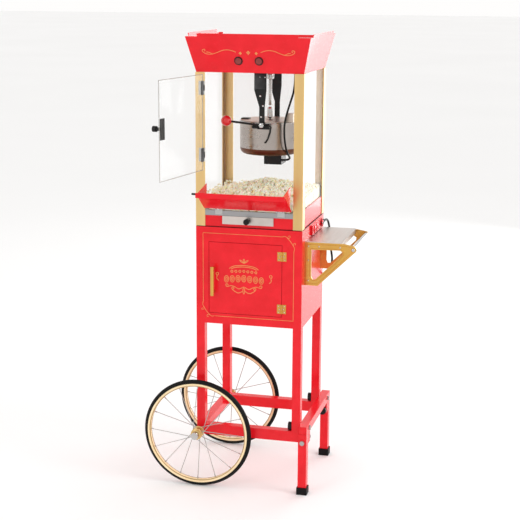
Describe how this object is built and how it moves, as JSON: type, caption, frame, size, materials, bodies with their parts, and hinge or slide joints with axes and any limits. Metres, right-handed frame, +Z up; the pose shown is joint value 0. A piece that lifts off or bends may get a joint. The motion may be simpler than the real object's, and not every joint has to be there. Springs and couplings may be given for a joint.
{
  "type": "popcorn cart",
  "caption": "Popcorn cart: glazed popping cabin with tilting kettle, storage cabinet, side shelf with push bar, and a tube stand with spoked wheels.",
  "frame": {"origin": "bottom centre of the whole cart's box, on the floor, the power cord and its plug left out", "axes": "+Z up, +X to the right along the front towards the push bar, +Y to the back; the doors, flap and drawer face -Y"},
  "size_m": [0.6238, 0.6379, 1.346],
  "materials": {
    "red_paint": "gloss",
    "brass_plate": "satin",
    "steel": "brushed",
    "chrome": "polished",
    "black_metal": "satin",
    "black_plastic": "matte",
    "rubber": "matte",
    "tyre": "matte",
    "rim_paint": "gloss",
    "clear_panel": "clear",
    "popcorn": "matte",
    "aluminium": "satin",
    "red_plastic": "gloss",
    "switch_lens": "gloss"
  },
  "bodies": {
    "cart": {"legs": "red_paint", "rails": "red_paint", "crossbars": "red_paint", "foot_legs": "red_paint", "foot_caps": "rubber", "frame_bolts": "chrome", "hand_knobs": "black_plastic", "axle": "chrome", "cabinet_back": "red_paint", "cabinet_left": "red_paint", "cabinet_right": "red_paint", "cabinet_floor_and_top": "red_paint", "cabinet_front": "red_paint", "hinge_leaves": "steel", "shelf_brackets": "brass_plate", "shelf_top": "steel", "push_handle": "steel", "popper_base": "red_paint", "popper_floor": "steel", "drawer_runners": "steel", "corner_posts": "brass_plate", "glass_panes": "clear_panel", "popcorn_heap": "popcorn", "canopy_shell": "red_paint", "canopy_panels": "red_paint", "motor": "black_metal", "switch_bezels": "black_plastic", "kettle_hangers": "black_metal", "kettle_cable": "black_plastic", "cord_outlet": "red_paint", "power_cord": "black_plastic", "cord_coil": "black_plastic", "power_plug": "black_plastic", "cord_hook": "chrome"},
    "cabinet_door": {"cabinet_door": "red_paint", "door_pull": "brass_plate", "cabinet_door_hinges": "brass_plate"},
    "glass_door": {"glass_door": "clear_panel", "glass_door_fittings": "black_plastic"},
    "chute_flap": {"chute_flap": "red_paint"},
    "drawer": {"drawer": "steel", "drawer_knob": "black_plastic"},
    "kettle": {"kettle_pot": "aluminium", "kettle_gearbox": "black_metal", "lid_right": "aluminium", "tilt_handle": "black_metal", "handle_ball": "red_plastic"},
    "lid_left": {"lid_left": "aluminium"},
    "stirrer": {"stirrer": "chrome"},
    "drive_shaft": {"drive_shaft": "chrome"},
    "wheel_front": {"wheel_front_tyre": "tyre", "wheel_front_rim": "rim_paint", "wheel_front_spokes": "chrome", "wheel_front_hub": "brass_plate"},
    "wheel_back": {"wheel_back_tyre": "tyre", "wheel_back_rim": "rim_paint", "wheel_back_spokes": "chrome", "wheel_back_hub": "brass_plate"},
    "switch_left": {"switch_left": "switch_lens"},
    "switch_right": {"switch_right": "switch_lens"}
  },
  "joints": [
    {"name": "glass_door_hinge", "type": "hinge", "parent": "cart", "child": "glass_door", "pos_m": [-0.13055, -0.05675, 1.094], "axis": [0, 0, 1], "range_deg": [-30, 100]},
    {"name": "chute_flap_hinge", "type": "hinge", "parent": "cart", "child": "chute_flap", "pos_m": [0.00245, -0.05475, 0.845], "axis": [-1, 0, 0], "range_deg": [0, 57]},
    {"name": "cabinet_door_hinge", "type": "hinge", "parent": "cart", "child": "cabinet_door", "pos_m": [0.10195, -0.05435, 0.64], "axis": [0, 0, 1], "range_deg": [0, 110]},
    {"name": "drawer_slide", "type": "slide", "parent": "cart", "child": "drawer", "axis": [0, -1, 0], "range_m": [0, 0.14]},
    {"name": "kettle_tilt", "type": "hinge", "parent": "cart", "child": "kettle", "pos_m": [0.02645, 0.10225, 1.085], "axis": [0, -1, 0], "range_deg": [0, 50], "deforming": ["kettle_cable"]},
    {"name": "lid_hinge", "type": "hinge", "parent": "kettle", "child": "lid_left", "pos_m": [0.01145, 0.10225, 1.0926], "axis": [0, 1, 0], "range_deg": [0, 70]},
    {"name": "drive_shaft_spin", "type": "hinge", "parent": "cart", "child": "drive_shaft", "pos_m": [0.02645, 0.10225, 1.18], "axis": [0, 0, 1], "continuous": true},
    {"name": "stirrer_spin", "type": "hinge", "parent": "kettle", "child": "stirrer", "pos_m": [0.02645, 0.10225, 1.05], "axis": [0, 0, 1], "continuous": true},
    {"name": "wheel_front_spin", "type": "hinge", "parent": "cart", "child": "wheel_front", "pos_m": [-0.14625, -0.08045, 0.1657], "axis": [0, 1, 0], "continuous": true},
    {"name": "wheel_back_spin", "type": "hinge", "parent": "cart", "child": "wheel_back", "pos_m": [-0.14625, 0.28495, 0.1657], "axis": [0, 1, 0], "continuous": true},
    {"name": "switch_left_rock", "type": "hinge", "parent": "cart", "child": "switch_left", "pos_m": [-0.02725, -0.05831, 1.27056], "axis": [1, 0, 0], "range_deg": [0, 14]},
    {"name": "switch_right_rock", "type": "hinge", "parent": "cart", "child": "switch_right", "pos_m": [0.03215, -0.05831, 1.27056], "axis": [1, 0, 0], "range_deg": [0, 14]}
  ],
  "couplings": [
    {"joint": "stirrer_spin", "follows": "drive_shaft_spin", "ratio": 1}
  ]
}
